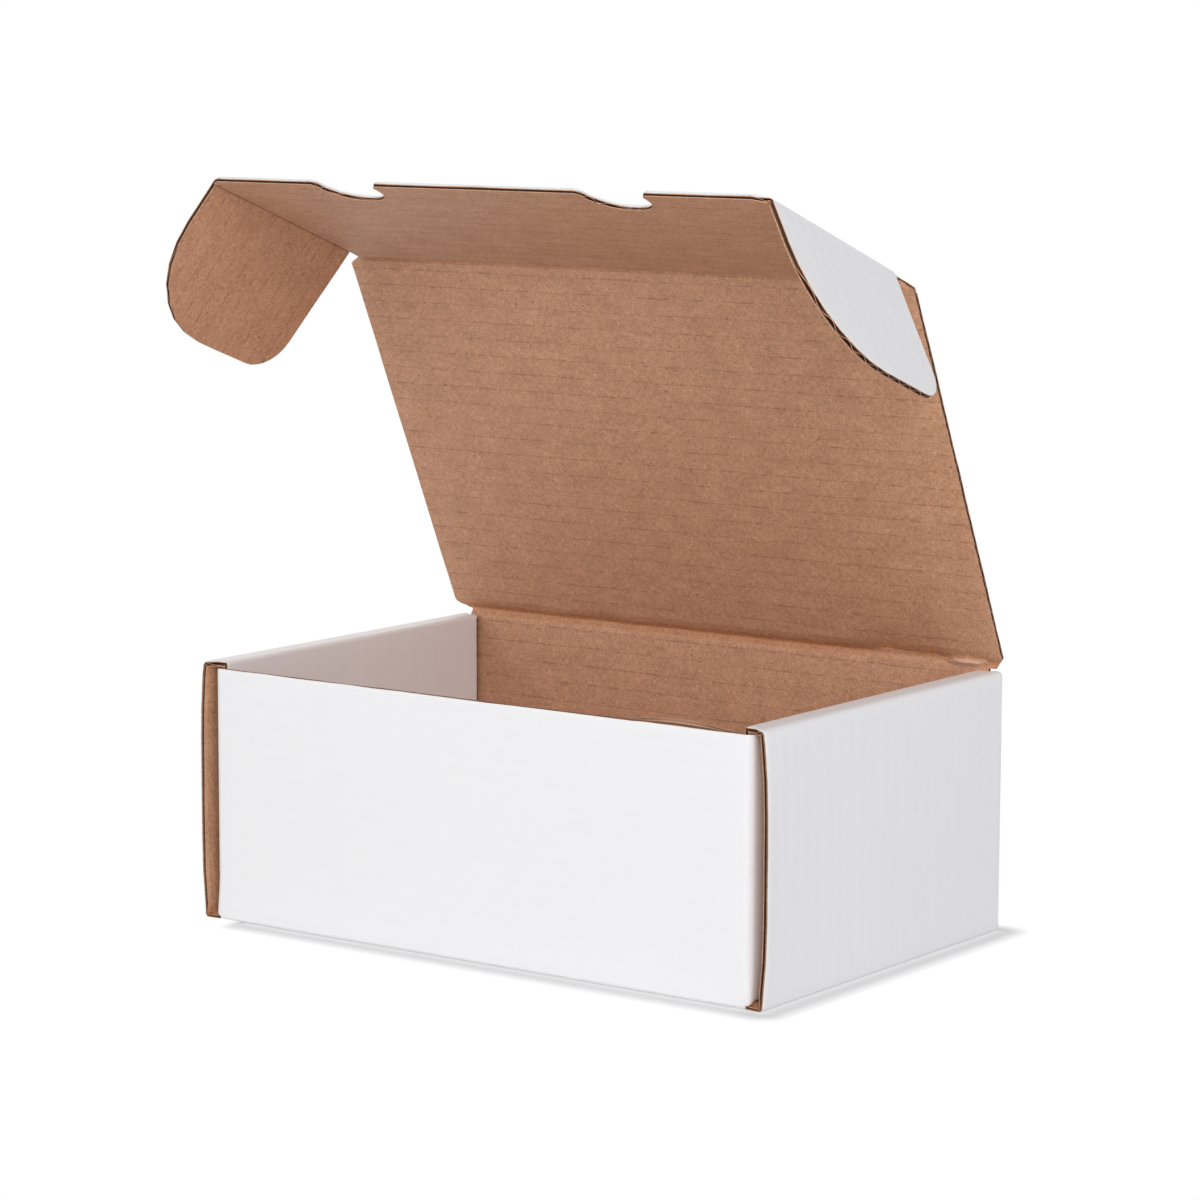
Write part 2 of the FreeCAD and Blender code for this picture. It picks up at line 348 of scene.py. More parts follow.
def paper(name, colour, contrast, roughness):
    """A paper's material with its fibres: returns it with its parts to build on. Where the
    pulp is thin it is deeper in colour and redder, and where it is thick paler and greyer."""
    material = bpy.data.materials.new(name)
    material.use_nodes = True
    shader = material.node_tree.nodes["Principled BSDF"]
    shader.inputs["Roughness"].default_value = roughness
    sheet = add_node(material, "UVMap", {"uv_map": "sheet"}).outputs[0]
    long_fibres = grain(material, sheet, 3.2, 0.5, 2.0)
    cross_fibres = grain(material, sheet, 0.7, 2.7, 2.0, 5.0)
    pulp = grain(material, sheet, 2.1, 2.1, 1.0, 13.0)
    clouds = grain(material, sheet, 0.09, 0.13, 2.0, 9.0)
    mottle = grain(material, sheet, 0.42, 0.55, 1.0, 21.0)
    fibres = maths(material, "ADD", maths(material, "ADD", long_fibres, cross_fibres), pulp)
    patches = maths(material, "ADD", clouds, mottle)
    tone = maths(material, "MULTIPLY_ADD", maths(material, "SUBTRACT", fibres, 1.5), contrast,
                 maths(material, "MULTIPLY_ADD", maths(material, "SUBTRACT", patches, 1.0),
                       contrast * 0.5, 0.5))
    deep = [part * (1 - spread_out) for part, spread_out in zip(colour, TONE_SPREAD)]
    pale = [part * (1 + spread_out) for part, spread_out in zip(colour, TONE_SPREAD)]
    toned = mix(material, tone, (*deep, 1), (*pale, 1))
    return material, shader, sheet, fibres, toned


def flute_marks(material, sheet, width, cover):
    """Broken lines where the fluted paper is glued on behind: up to 1 on a mark, 0 elsewhere."""
    parts = add_node(material, "SeparateXYZ", Vector=sheet)
    drift = maths(material, "MULTIPLY", grain(material, sheet, 0.06, 0.03, 2.0, 3.0), 0.2)
    turns = maths(material, "ADD", maths(material, "DIVIDE", parts.outputs[1], FLUTE_PITCH), drift)
    row = maths(material, "FLOOR", turns)
    aside = maths(material, "ABSOLUTE", maths(material, "SUBTRACT",
                                              maths(material, "FRACT", turns), 0.5))
    spot = add_node(material, "CombineXYZ", X=maths(material, "MULTIPLY", parts.outputs[0], 0.16),
                    Y=maths(material, "MULTIPLY", row, 7.31), Z=0.0)
    dashes = add_node(material, "TexNoise", Vector=spot.outputs[0], Scale=1.0, Detail=6.0,
                      Roughness=0.85)
    strength = ramp(material, dashes.outputs["Fac"], 0.62 - cover * 0.25, 0.78 - cover * 0.25)
    reach = maths(material, "MULTIPLY", maths(material, "ADD", strength, 0.35), width)
    line = maths(material, "SUBTRACT", 1.0, maths(material, "DIVIDE", aside, reach))
    return maths(material, "MULTIPLY", maths(material, "MAXIMUM", line, 0.0),
                 maths(material, "MULTIPLY_ADD", strength, 0.8, 0.2))


def add_bump(material, shader, height, strength=1.0):
    """Height in millimetres."""
    bump = add_node(material, "Bump", Height=height, Strength=strength, Distance=MM)
    material.node_tree.links.new(bump.outputs[0], shader.inputs["Normal"])


def pressed_depth(material):
    """How far a point was pressed in, in millimetres: below 0 where a liner has come loose."""
    return add_node(material, "Attribute", {"attribute_name": "pressed_in"}).outputs["Fac"]


def torn(material, colour, fibre_colour, most):
    """Paler, broken fibres where a liner has come loose."""
    loose = maths(material, "MULTIPLY", pressed_depth(material), -1.0)
    share = maths(material, "MULTIPLY", ramp(material, loose, 0.1, 0.6), most)
    return mix(material, share, colour, (*fibre_colour, 1))


def washboard(material, sheet):
    """The faint ripple that the flutes press through a liner."""
    across = add_node(material, "SeparateXYZ", Vector=sheet).outputs[1]
    return maths(material, "COSINE", maths(material, "MULTIPLY", across, 2 * math.pi / FLUTE_PITCH))


KRAFT = (0.54, 0.286, 0.166)
FLUTE_MARK = (0.2, 0.062, 0.022)
BARK_SPECK = (0.1, 0.045, 0.03)
PALE_SPECK = (0.75, 0.52, 0.36)
# Painted shade: the darker, redder tint that the kraft takes where it is pressed in.
PRESS_SHADE_TINT = (0.95, 0.84, 0.72)
KRAFT_FIBRES = (0.74, 0.5, 0.38)


def make_kraft_liner():
    material, shader, sheet, fibres, toned = paper("kraft_liner", KRAFT, 0.74, 0.6)
    marks = flute_marks(material, sheet, 0.055, 0.8)
    marked = mix(material, maths(material, "MULTIPLY", marks, 0.52), toned, (*FLUTE_MARK, 1))
    bark = maths(material, "MULTIPLY", specks(material, sheet, 3.4, 0.34, 0.2), 0.6)
    dark = mix(material, bark, marked, (*BARK_SPECK, 1))
    chips = maths(material, "MULTIPLY", specks(material, sheet, 2.3, 0.26, 0.2, 31.0), 0.4)
    light = mix(material, chips, dark, (*PALE_SPECK, 1))
    # Painted shade: where a crease or a squeezed corner has pressed the kraft in, its colour is
    # darkened and reddened. This stands in for the shade and the kraft-lit bounce light in those
    # hollows.
    press_shade_painted = mix(material, ramp(material, pressed_depth(material), 0.0, 1.2), light,
                  (*PRESS_SHADE_TINT, 1), "MULTIPLY")
    faded = torn(material, press_shade_painted, KRAFT_FIBRES, 0.55)
    material.node_tree.links.new(faded, shader.inputs["Base Color"])
    relief = maths(material, "MULTIPLY_ADD", washboard(material, sheet), 0.012,
                   maths(material, "MULTIPLY", fibres, 0.03))
    add_bump(material, shader, maths(material, "MULTIPLY_ADD", marks, -0.02, relief))
    return material


WHITE = (0.84, 0.842, 0.842)
GREY_FLECK = (0.5, 0.45, 0.42)


def make_white_liner():
    material, shader, sheet, fibres, toned = paper("white_liner", WHITE, 0.03, 0.55)
    flecks = maths(material, "MULTIPLY", specks(material, sheet, 9.0, 0.3, 0.25), 0.3)
    faint = mix(material, flecks, toned, (*GREY_FLECK, 1))
    material.node_tree.links.new(faint, shader.inputs["Base Color"])
    ripple = maths(material, "MULTIPLY", washboard(material, sheet), 0.025)
    add_bump(material, shader, maths(material, "MULTIPLY_ADD", fibres, 0.006, ripple))
    return material


# Painted shade: the fluting is given a far darker brown than real fluting paper, standing in for
# the shade in the hollows between the flutes. FLUTING_FIBRES is the paler colour of its torn
# fibres.
PAINTED_DARK_FLUTING = (0.15, 0.075, 0.045)
FLUTING_FIBRES = (0.5, 0.27, 0.17)


def make_painted_dark_fluting():
    material, shader, sheet, fibres, toned = paper("fluting", PAINTED_DARK_FLUTING, 0.4, 0.9)
    faded = torn(material, toned, FLUTING_FIBRES, 0.9)
    material.node_tree.links.new(faded, shader.inputs["Base Color"])
    add_bump(material, shader, maths(material, "MULTIPLY", fibres, 0.03))
    return material


white_liner = make_white_liner()
kraft_liner = make_kraft_liner()
fluting = make_painted_dark_fluting()

TAB_LENGTH = 26.0
TAB_SPACING = 74.0
TAB_FIT = 0.4
TAB_RISE = 0.3
BACK_GAP = 1.1
STRIP_EASE = 1.5
foot = BOARD + EDGE_GAP
inner_front = front_y + BOARD + EDGE_GAP
inner_back = back_y - BOARD - EDGE_GAP
inner_end = 0.0
strip_start = side_top - foot
wall_top = strip_start + side_x - room_x
wall_foot = wall_top + side_top
far_foot = wall_foot + 2 * side_x
far_top = far_foot + side_top
far_strip = far_top + side_x - room_x
far_end = far_strip + strip_start
half_way = (wall_foot + far_foot) / 2
TOP_REACH = 2.0
band_bends = [
    (strip_start, 90, FOLD_REACH), (wall_top, 90, TOP_REACH), (wall_foot, 90, FOLD_REACH),
    (far_foot, 90, FOLD_REACH), (far_top, 90, TOP_REACH), (far_strip, 90, FOLD_REACH)]
band_section = fold_section((-room_x, foot), 90, band_bends)


def band_edge(end, inner):
    """Corners along the strip's front or back edge, from the left inner panel to the right."""
    inward = math.copysign(FOLD_REACH, -end)
    panel = inner - BACK_GAP if inner > 0 else inner
    left = [
        (inner_end, panel, 0),
        (strip_start - STRIP_EASE, panel, 0),
        (strip_start + STRIP_EASE, inner, 0),
        (wall_top - side_x + flap_x, inner, 0),
        (wall_top - BOARD, end, 0),
        (half_way - crease_x, end, 0),
        (half_way - crease_x, end + inward, 0),
    ]
    return left + [(2 * half_way - u, v, radius) for u, v, radius in reversed(left)]


def tabbed_edge(end, outward):
    """Corners along an inner panel's foot, with its two tabs, from front to back."""
    tip = end + outward * (foot - TAB_RISE)
    corners = []
    for middle in (-TAB_SPACING / 2, TAB_SPACING / 2):
        low, high = middle - TAB_LENGTH / 2, middle + TAB_LENGTH / 2
        corners += [(end, low, 0), (tip, low, 0), (tip, high, 0), (end, high, 0)]
    return corners


BOW_LEFT = 1.6
BOW_RIGHT = 2.0
BOW_DEPTH = 45.0


def bow(x, y, z):
    """How far a side wall's outer panel springs out along its front edge, which nothing holds."""
    height = min(max(z / side_top, 0), 1)
    amount = (BOW_LEFT if x < 0 else BOW_RIGHT) * (1 - (2 * height - 1) ** 4)
    return amount * max(0, 1 - (y - front_y) / BOW_DEPTH) ** 2


def place_band(u, v, w):
    x, z = band_section(u, w)
    if abs(x) > side_x - BOARD - 0.5:
        x += math.copysign(bow(x, v, z), x)
    return Vector((x, v, z))


band_corners = (band_edge(front_y, inner_front) + tabbed_edge(far_end, 1)
                + band_edge(back_y, inner_back)[::-1] + tabbed_edge(inner_end, -1)[::-1])
tab_slots = [(half_way + side * (room_x + BOARD / 2) - BOARD / 2 - TAB_FIT,
              half_way + side * (room_x + BOARD / 2) + BOARD / 2 + TAB_FIT,
              middle - TAB_LENGTH / 2 - TAB_FIT, middle + TAB_LENGTH / 2 + TAB_FIT)
             for side in (-1, 1) for middle in (-TAB_SPACING / 2, TAB_SPACING / 2)]


def bend_lines(bends):
    """Where a sheet is cut across so that its bends come out round."""
    return [at + part * reach for at, _, reach in bends for part in (-1, -0.6, -0.2, 0.2, 0.6, 1)]


def ease(part):
    """From 0 to 1 as part does, smoothly."""
    part = min(max(part, 0), 1)
    return part * part * (3 - 2 * part)


CORNER_THIN = 0.62
CORNER_THIN_REACH = 5.0
CORNER_THIN_START = 2.0
CORNER_THIN_FADE = 4.0


def press_band(u, v, w):
    """The bottom's four free corners are squeezed thin by the folds on both sides of them."""
    aside = abs(u - half_way)
    thin = ease((aside - crease_x) / CORNER_THIN_START + 0.5)
    thin *= ease((side_x - aside) / CORNER_THIN_FADE + 1)
    return w * (1 - CORNER_THIN * thin * ease(1 - (back_y - abs(v)) / CORNER_THIN_REACH))


band_lines = [end * (back_y - back) for end in (-1, 1) for back in range(1, 6)]
bottom_and_sides = laminate("bottom_and_side_walls", band_corners, place_band, pressed=press_band,
                            folds_u=bend_lines(band_bends), folds_v=band_lines,
                            windows=tab_slots)
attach(bottom_and_sides, "tray")
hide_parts("tray")


# The front and back walls: single board, folded up from the bottom. Each wall's ends fold
# round into corner flaps, which lie between the layers of the side walls and hold the corners.
CORNER_FLAP = 55.0
FLAP_FOOT_GAP = 0.4
FLAP_CORNER_RADIUS = 10.0
CORNER_REACH = 3.1
CORNER_FOOT_REACH = 1.5
CORNER_FOOT_HEIGHT = 14.0
FOOT_LINES = [5.0, 8.0, 11.0, 15.0]
FLAP_FOOT_START = 0.9
FLAP_FOOT_RUN = 5.0
PEEL_START, PEEL_END = 57.0, 98.0
PEEL_RISE = 1.9
PEEL_BULGE = 0.8
PEEL_DEPTH = 4.0
PEEL_STEP = 4.0
SEAM_FIT = 0.1
wall_height = side_top - BOARD - LAYER_GAP
wall_rise = FOLD_REACH + wall_height
flap_rise = FOLD_REACH + BOARD + FLAP_FOOT_GAP
foot_bend = [(FOLD_REACH, 90, FOLD_REACH)]
foot_section = fold_section((-FOLD_REACH, 0), 0, foot_bend)


def make_wall(name, out_y):
    """A wall with its flaps. u runs from one flap's end to the other's, v up from the bottom."""
    out = math.copysign(1, out_y)
    tip = 2 * (CORNER_FLAP + flap_x)
    middle = tip / 2
    corner_bends = [[(CORNER_FLAP, 90, reach), (tip - CORNER_FLAP, 90, reach)]
                    for reach in (CORNER_FOOT_REACH, CORNER_REACH)]
    sharp, rounded = [fold_section((-flap_x, CORNER_FLAP), -90, bends) for bends in corner_bends]

    def peel(u, v, w):
        """How far the kraft liner has come away along a stretch of the front wall's top."""
        along = (u - middle - PEEL_START) / (PEEL_END - PEEL_START)
        if out > 0 or not 0 < along < 1:
            return 0
        near_edge = ease(1 - (wall_rise - v) / PEEL_DEPTH)
        return math.sin(math.pi * along) * near_edge * min(1, w / BOARD) ** 2

    def place(u, v, w):
        forward, z = foot_section(v, w)
        x, depth = sharp(u, -forward).lerp(rounded(u, -forward), ease(z / CORNER_FOOT_HEIGHT))
        return Vector((-out * x, out_y - out * depth, z + PEEL_RISE * peel(u, v, w)))

    corners = [
        (middle - crease_x, 0, 0), (middle + crease_x, 0, 0),
        (middle + crease_x, FOLD_REACH + FLAP_FOOT_START, 0),
        (middle + crease_x + FLAP_FOOT_RUN, flap_rise, 0),
        (tip, flap_rise, FLAP_CORNER_RADIUS), (tip, wall_rise, FLAP_CORNER_RADIUS),
        (0, wall_rise, FLAP_CORNER_RADIUS), (0, flap_rise, FLAP_CORNER_RADIUS),
        (middle - crease_x - FLAP_FOOT_RUN, flap_rise, 0),
        (middle - crease_x, FOLD_REACH + FLAP_FOOT_START, 0),
    ]

    def joined(u, v):
        hinged = out > 0 and v > wall_rise - SEAM_FIT and abs(u - middle) < flap_x
        return v < SEAM_FIT or hinged

    peel_us = [middle + along for along in spread(PEEL_START, PEEL_END, PEEL_STEP)]
    peel_vs = [wall_rise - down for down in (1, 2, 3)]
    wall = laminate(name, corners, place, joined=joined,
                    folds_u=bend_lines(corner_bends[0] + corner_bends[1]) + peel_us,
                    folds_v=bend_lines(foot_bend) + FOOT_LINES + peel_vs,
                    pressed=lambda u, v, w: w + PEEL_BULGE * peel(u, v, w))
    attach(wall, "tray")


make_wall("front_wall", front_y)
make_wall("back_wall", back_y)


# The lid: one panel of the same board that runs on from the top of the back wall over a pressed
# crease, kraft side in. It is a little wider than the tray, and its corners are cut back at
# both creases.
LID_OVERHANG = 1.0
LID_RELIEF_LENGTH = 3.0
LID_RELIEF_WIDTH = 4.5
CREASE_REACH = 1.8
TUCK_SEAM = 5.0
tuck_hinge = Vector(hinges["tuck_crease"]["pos_m"]) / MM
lid_length = (tuck_hinge - lid_hinge).length
lid_run = (tuck_hinge - lid_hinge).normalized()
tuck_run = Vector(hinges["ear_right_crease"]["axis"])
back_up = wall_height - lid_hinge.z
lid_bend = math.degrees(Vector((0, 0, 1)).angle(lid_run))
tuck_bend = math.degrees(lid_run.angle(tuck_run))
lid_bends = [(-back_up, lid_bend, CREASE_REACH), (lid_length - back_up, tuck_bend, CREASE_REACH)]
lid_section = fold_section((lid_hinge.y, wall_height), 90, lid_bends)
lid_x = side_x + LID_OVERHANG
relief_x = lid_x - LID_RELIEF_WIDTH


def place_lid(u, v, w):
    """v counts from the lid's hinge."""
    y, z = lid_section(v - back_up, w)
    return Vector((u, y, z))


HINGE_GROOVE = 1.3
WALL_GROOVE_REACH = 2.6
LID_GROOVE_REACH = 5.0
CREASE_STRAY = 2.0
STRAY_START, STRAY_END = 56.0, 92.0
TUCK_GROOVE = 0.5
TUCK_GROOVE_REACH = 1.6
PRESS_DECAY = 1.5
PUCKER = 3.0
PUCKER_START, PUCKER_END = 87.0, 106.0
PUCKER_RISE = 0.3
PUCKER_REACH = 1.6


def press_lid(u, v, w):
    """The pressed creases at both ends of the lid, and the liner's pucker by the right end. The
    hinge crease wavers, and strays from its line towards the right."""
    line = 0.6 * noise.noise(Vector((u * 0.07, 3.1, 0)))
    line += 0.4 * noise.noise(Vector((u * 0.35, 8.2, 0)))
    along = (u - STRAY_START) / (STRAY_END - STRAY_START)
    line += CREASE_STRAY * ease(4 * along) * ease(4 - 4 * along)
    if v > line:
        deep = max(0, 1 - (v - line) / LID_GROOVE_REACH) * HINGE_GROOVE
    else:
        deep = max(0, 1 - (line - v) / WALL_GROOVE_REACH) ** 1.3 * HINGE_GROOVE
    deep += max(0, 1 - abs(v - lid_length) / TUCK_GROOVE_REACH) * TUCK_GROOVE
    along = (u - PUCKER_START) / (PUCKER_END - PUCKER_START)
    if 0 < along < 1:
        swell = math.sin(math.pi * along)
        swell *= math.exp(-((v - PUCKER_RISE) / (PUCKER_REACH * swell + 0.2)) ** 2)
        swell *= 1 + 0.5 * noise.noise(Vector((u * 0.5, v * 0.8, 2.0)))
        deep += ease(swell) * (-PUCKER - deep)
    return w - deep * (w / BOARD) ** PRESS_DECAY


def flipped(right):
    """The left half of an outline from its right half."""
    return [(-u, v, radius) for u, v, radius in reversed(right)]


def moved(bends, start):
    """The same bends on a sheet whose zero lies elsewhere."""
    return [(at + start, degrees, reach) for at, degrees, reach in bends]


GROOVE_STEP = 0.45
LID_STEP_U = 3.0
RELIEF_ROUND = 0.5
RIGHT_SLIT = 1.5
RIGHT_SLIT_END = 106.6
RIGHT_RELIEF = 2.8
lid_seam = lid_length - TUCK_SEAM
groove_lines = [GROOVE_STEP * step for step in range(-6, 8)] + [4.0, 5.0, 6.0]
lid_right = [(flap_x, back_up, 0), (flap_x, -RIGHT_SLIT, 0), (RIGHT_SLIT_END, -RIGHT_SLIT, 0),
             (lid_x, RIGHT_RELIEF, RELIEF_ROUND), (lid_x, lid_seam, 0)]
lid_left = flipped([(flap_x, back_up, 0), (flap_x, 0, 0), (relief_x, 0, 0),
                    (lid_x, LID_RELIEF_LENGTH, RELIEF_ROUND), (lid_x, lid_seam, 0)])
lid = laminate("lid_panel", (lid_right + lid_left)[::-1], place_lid, pressed=press_lid,
               folds_u=spread(-lid_x, lid_x, LID_STEP_U),
               folds_v=bend_lines(moved(lid_bends, back_up)) + groove_lines,
               joined=lambda u, v: v > lid_seam - SEAM_FIT or v < back_up + SEAM_FIT)
place_lid(0, -CREASE_REACH, 0) * MM
place_lid(0, CREASE_REACH, 0) * MM
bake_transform(lid)
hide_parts("lid")


# The tuck flap: the lid's front flap of the same board, as deep as the front wall, which it
# covers on the outside. Two round thumb notches in its free edge let it be pulled open again.
NOTCH_RADIUS = 11.5
NOTCH_DEPTH = 15.0
NOTCH_SPACING = 102.0
NOTCH_LIP = 2.0
NOTCH_ROUND = 11.4
CUT_ROLL = 0.8
EAR_SEAM = 8.0
CORNER_PATCH = 4.0
TUCK_TABLE_GAP = 5.7
tuck_depth = lid_hinge.z - TUCK_TABLE_GAP
tuck_x = hinges["ear_right_crease"]["pos_m"][0] / MM
ear_seam_x = tuck_x - EAR_SEAM


def place_tuck(u, v, w):
    """v counts from the tuck flap's crease."""
    return place_lid(u, v + lid_length, w)


def press_tuck(u, v, w):
    return press_lid(u, v + lid_length, w)


def notch(middle):
    """Corners of a thumb notch: an arch with rounded lips at the flap's edge."""
    right, left, top = middle + NOTCH_RADIUS, middle - NOTCH_RADIUS, tuck_depth - NOTCH_DEPTH
    return [(right, tuck_depth, NOTCH_LIP), (right, top, NOTCH_ROUND),
            (left, top, NOTCH_ROUND), (left, tuck_depth, NOTCH_LIP)]


def tuck_joined(u, v):
    beside_ear = abs(u) > ear_seam_x - SEAM_FIT and v > CORNER_PATCH - SEAM_FIT
    return v < -TUCK_SEAM + SEAM_FIT or beside_ear


tuck_right = [
    (lid_x, -TUCK_SEAM, 0), (lid_x, -LID_RELIEF_LENGTH, RELIEF_ROUND), (relief_x, 0, 0),
    (relief_x, CORNER_PATCH, 0), (ear_seam_x, CORNER_PATCH, 0),
    (ear_seam_x, tuck_depth, 0), *notch(NOTCH_SPACING / 2)]
tuck = laminate("tuck_flap_panel", (tuck_right + flipped(tuck_right))[::-1], place_tuck,
                pressed=press_tuck, crest=tuck_depth, crush=0.0, roll=lambda u: CUT_ROLL,
                folds_v=bend_lines(moved(lid_bends[1:], back_up - lid_length)),
                joined=tuck_joined)
place_tuck(0, -CREASE_REACH, 0) * MM
place_tuck(0, CREASE_REACH, 0) * MM
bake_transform(tuck)
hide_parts("tuck_flap")


# The ears: a flap of the same board on each end of the tuck flap, which goes in behind the side
# wall's outer panel as the box closes. Its front corner is cut round so that it can swing in.
EAR_REACH = 50.0
EAR_BACK_START = 6.5
EAR_FRONT_GAP = 3.5
EAR_BACK_SLANT = 2.5
EAR_FRONT_BULGE = 1.5
EAR_BACK_RADIUS = 13.0
EAR_FRONT_RADIUS = 33.0
EAR_CREASE_REACH = 1.4
EAR_GROOVE = 0.6
EAR_GROOVE_REACH = 1.3
CORNER_CUT = 4.5
CORNER_CUT_ROUND = (1.0, 3.0)
tuck_inward = Vector((1, 0, 0)).cross(tuck_run)


def press_ear(u, v, w):
    return w - max(0, 1 - abs(u) / EAR_GROOVE_REACH) * EAR_GROOVE * (w / BOARD) ** 2


def ear_roll(u):
    """The ear's strip on the tuck flap is cut as the tuck flap is."""
    return ROLL + (CUT_ROLL - ROLL) * ease(-2 * u / EAR_SEAM)


def make_ear(name, side):
    hinge = hinges[f"{name}_crease"]
    bends = [(EAR_SEAM, hinge["range_deg"][1], EAR_CREASE_REACH)]
    section = fold_section((-EAR_SEAM, 0), 0, bends)
    crease = Vector(hinge["pos_m"]) / MM

    def place(u, v, w):
        out, down = section(u + EAR_SEAM, w)
        return crease + Vector((side * out, 0, 0)) + tuck_inward * down + tuck_run * v

    front = tuck_depth - EAR_FRONT_GAP
    corners = [
        (-EAR_SEAM, CORNER_PATCH, 0), (relief_x - tuck_x, CORNER_PATCH, 0), (0, EAR_BACK_START, 0),
        (EAR_REACH, EAR_BACK_START + EAR_BACK_SLANT, EAR_BACK_RADIUS),
        (EAR_REACH, front + EAR_FRONT_BULGE, EAR_FRONT_RADIUS), (0, front, CORNER_CUT_ROUND[0]),
        (-CORNER_CUT, tuck_depth, CORNER_CUT_ROUND[1]), (-EAR_SEAM, tuck_depth, 0)]
    ear = laminate(f"{name}_panel", corners, place, folds_u=bend_lines(moved(bends, -EAR_SEAM)),
                   pressed=press_ear, crest=tuck_depth, crush=0.0, roll=ear_roll,
                   joined=lambda u, v: u < -EAR_SEAM + SEAM_FIT or v < CORNER_PATCH + SEAM_FIT)
    place(-EAR_CREASE_REACH, 0, 0) * MM
    place(EAR_CREASE_REACH, 0, 0) * MM
    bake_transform(ear)
    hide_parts(name)


make_ear("ear_left", -1)
make_ear("ear_right", 1)


# The studio: a wide white table, and a white backdrop with soft light all round. The table
# shows as pure white. Close around the box's foot it shows a grey diffuse that fades out with
# distance: a painted shadow, darker than the table's own white, which also carries the box's real
# shadow.
def plane(name, size, z):
    """A flat square, size metres to each side of the middle."""
    made = bmesh.new()
    bmesh.ops.create_grid(made, x_segments=1, y_segments=1, size=size)
    bmesh.ops.translate(made, verts=made.verts[:], vec=(0, 0, z))
    mesh = bpy.data.meshes.new(name)
    made.to_mesh(mesh)
    made.free()
    piece = bpy.data.objects.new(name, mesh)
    bpy.context.scene.collection.objects.link(piece)
    return piece


FLOOR_SIZE = 6.0
FLOOR_DROP = 0.0003
FLOOR_WHITE = (0.9, 0.9, 0.91)
# Painted shadow: the grey of the table close around the tray's foot, darker than its own white.
SHADOW_PAINT_GREY = (0.6, 0.6, 0.61)
SHADOW_REACH = 0.0098
CONTACT_START, CONTACT_END = -0.0035, 0.0045
LEFT_FADE_START = 0.04
LEFT_FADE = 0.7
floor = plane("table", FLOOR_SIZE, -FLOOR_DROP)
table_white = bpy.data.materials.new("table_white")
table_white.use_nodes = True
tree = table_white.node_tree
matt = tree.nodes["Principled BSDF"]
matt.inputs["Base Color"].default_value = (*FLOOR_WHITE, 1)
matt.inputs["Roughness"].default_value = 0.9
matt.inputs["Specular IOR Level"].default_value = 0.1
glow = add_node(table_white, "Emission", Color=(1, 1, 1, 1), Strength=1.0)


def seen_rays(holder):
    """1 for the rays that show the backdrop: the camera's, and those mirrored or let through."""
    rays = add_node(holder, "LightPath")
    return maths(holder, "MAXIMUM", rays.outputs["Is Camera Ray"],
                 maths(holder, "MAXIMUM", rays.outputs["Is Glossy Ray"],
                       rays.outputs["Is Transmission Ray"]))


def outside(across, half):
    """Distance past the tray's side along one axis, from a coordinate on the table."""
    return maths(table_white, "MAXIMUM", 0.0, maths(
        table_white, "SUBTRACT", maths(table_white, "ABSOLUTE", across), half))


table_place = add_node(table_white, "SeparateXYZ",
                       Vector=add_node(table_white, "TexCoord").outputs["Object"])
from_left = maths(table_white, "MULTIPLY", maths(
    table_white, "MINIMUM", 0.0, maths(
        table_white, "ADD", table_place.outputs[0], side_x * MM - LEFT_FADE_START)),
    LEFT_FADE)
past_side = outside(maths(table_white, "ADD", table_place.outputs[0], from_left), side_x * MM)
past_front = outside(table_place.outputs[1], -front_y * MM)
away = maths(table_white, "SQRT", maths(table_white, "ADD",
                                        maths(table_white, "POWER", past_side, 2.0),
                                        maths(table_white, "POWER", past_front, 2.0)))
# Painted shadow: the grey diffuse is mixed in fully at the tray's foot and fades out within
# SHADOW_REACH of it, sooner on the left. The diffuse carries the box's real shadow as well.
fading = maths(table_white, "MAXIMUM", 0.0, maths(
    table_white, "SUBTRACT", 1.0, maths(table_white, "DIVIDE", away, SHADOW_REACH)))
shadow = maths(table_white, "MULTIPLY", fading,
               ramp(table_white, away, CONTACT_START, CONTACT_END))
shadow_grey_diffuse = add_node(table_white, "BsdfDiffuse", Color=(*SHADOW_PAINT_GREY, 1))
seen = add_node(table_white, "MixShader", Fac=shadow)
tree.links.new(glow.outputs[0], seen.inputs[1])
tree.links.new(shadow_grey_diffuse.outputs[0], seen.inputs[2])
blended = add_node(table_white, "MixShader", Fac=seen_rays(table_white))
tree.links.new(matt.outputs[0], blended.inputs[1])
tree.links.new(seen.outputs[0], blended.inputs[2])
tree.links.new(blended.outputs[0], tree.nodes["Material Output"].inputs["Surface"])
floor.data.materials.append(table_white)

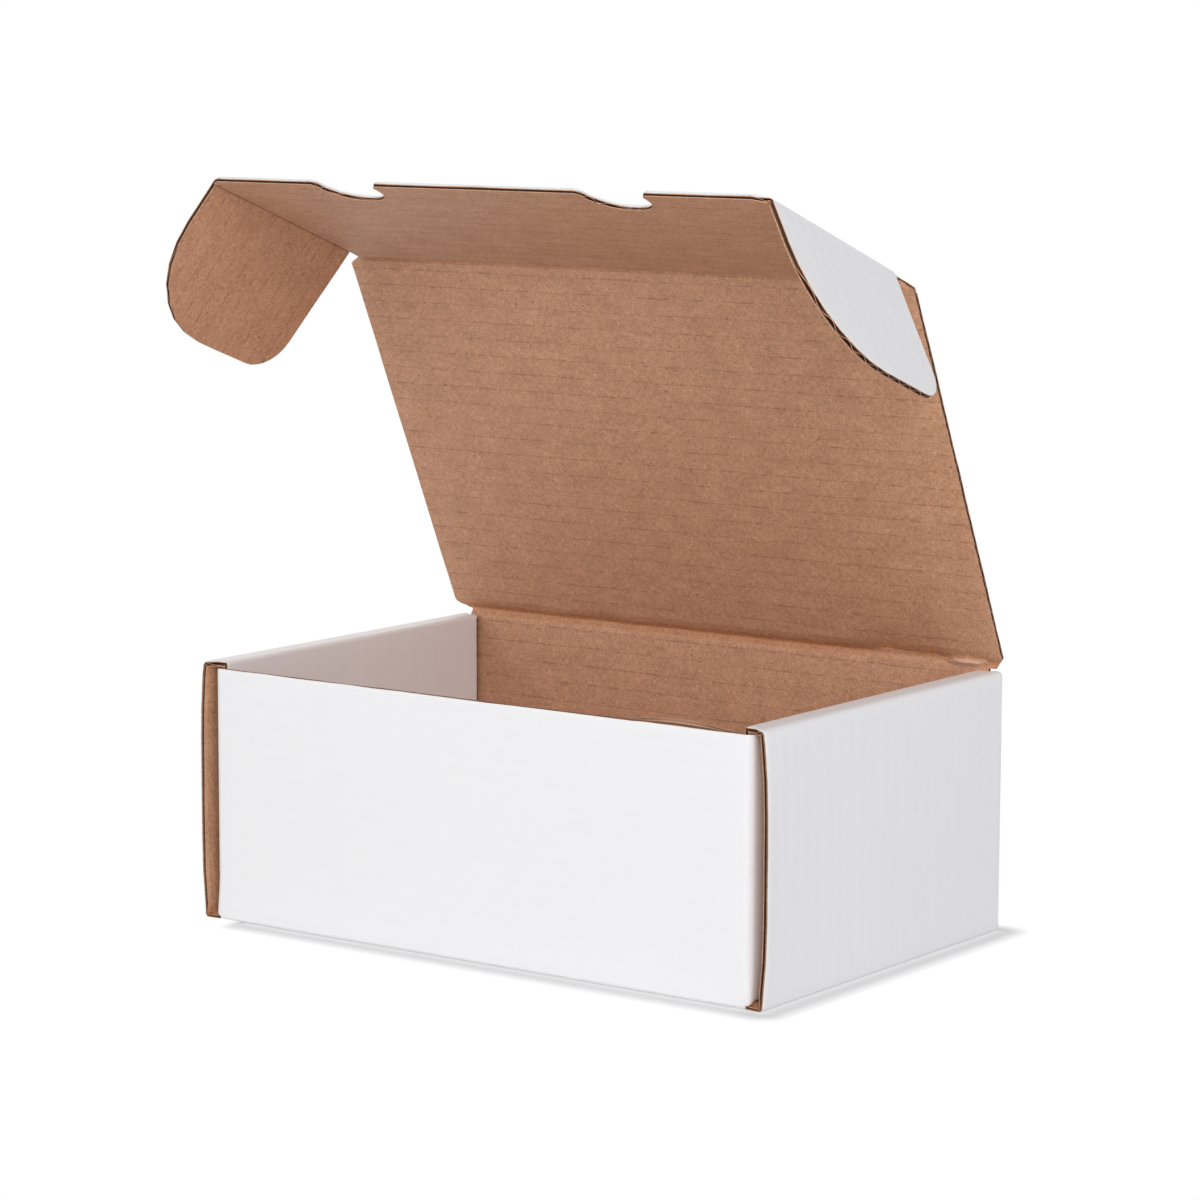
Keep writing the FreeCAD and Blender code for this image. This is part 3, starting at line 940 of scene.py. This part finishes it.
WORLD_LIGHT = 0.43
SKY = (0.97, 0.97, 1.0)
world = bpy.data.worlds.new("studio")
bpy.context.scene.world = world
world.use_nodes = True
backdrop = world.node_tree.nodes["Background"]
shown = seen_rays(world)
world.node_tree.links.new(mix(world, shown, (*SKY, 1), (1, 1, 1, 1)), backdrop.inputs["Color"])
strength = add_node(world, "MapRange", Value=shown)
strength.inputs["To Min"].default_value = WORLD_LIGHT
strength.inputs["To Max"].default_value = 1.0
world.node_tree.links.new(strength.outputs[0], backdrop.inputs["Strength"])


# Three large square lamps: in front, to the right and behind on the left.
LAMP_SIZE = 1.2
LAMP_AIM = Vector((0, 0, 0.1))


def lamp(name, power, colour, place):
    light = bpy.data.lights.new(name, "AREA")
    light.energy = power
    light.color = colour
    light.size = LAMP_SIZE
    made = bpy.data.objects.new(name, light)
    made.location = place
    towards = LAMP_AIM - Vector(place)
    made.rotation_euler = towards.to_track_quat("-Z", "Y").to_euler()
    bpy.context.scene.collection.objects.link(made)


lamp("front_lamp", 9.3, (1.0, 1.0, 0.98), (-0.7, -1.75, 0.6))
lamp("right_lamp", 17.3, (0.985, 0.98, 1.0), (1.3, -1.1, 0.9))
lamp("back_lamp", 6.0, (1.0, 1.0, 1.0), (-1.1, 1.3, 0.9))


# The camera: a long lens just above table height, turned 36 degrees to the right of the box's
# front, so that the front, the right side and the open lid are seen.
CAMERA_AZIMUTH = 36.0
CAMERA_RISE = 8.11
CAMERA_ROLL = 0.167
CAMERA_DISTANCE = 1.3047
CAMERA_LENS = 122.3
CAMERA_TARGET = Vector((0.0006, -0.0012, 0.1061))
camera = bpy.data.objects.new("camera", bpy.data.cameras.new("camera"))
camera.data.lens = CAMERA_LENS
camera.data.sensor_width = 36
azimuth, rise = math.radians(CAMERA_AZIMUTH), math.radians(CAMERA_RISE)
backward = Vector((math.sin(azimuth) * math.cos(rise), -math.cos(azimuth) * math.cos(rise),
                   math.sin(rise)))
camera.location = CAMERA_TARGET + backward * CAMERA_DISTANCE
turned = (-backward).to_track_quat("-Z", "Y").to_matrix()
camera.rotation_euler = (turned @ Matrix.Rotation(math.radians(CAMERA_ROLL), 3, "Z")).to_euler()
bpy.context.scene.collection.objects.link(camera)
bpy.context.scene.camera = camera
bpy.context.scene.view_settings.view_transform = "Standard"
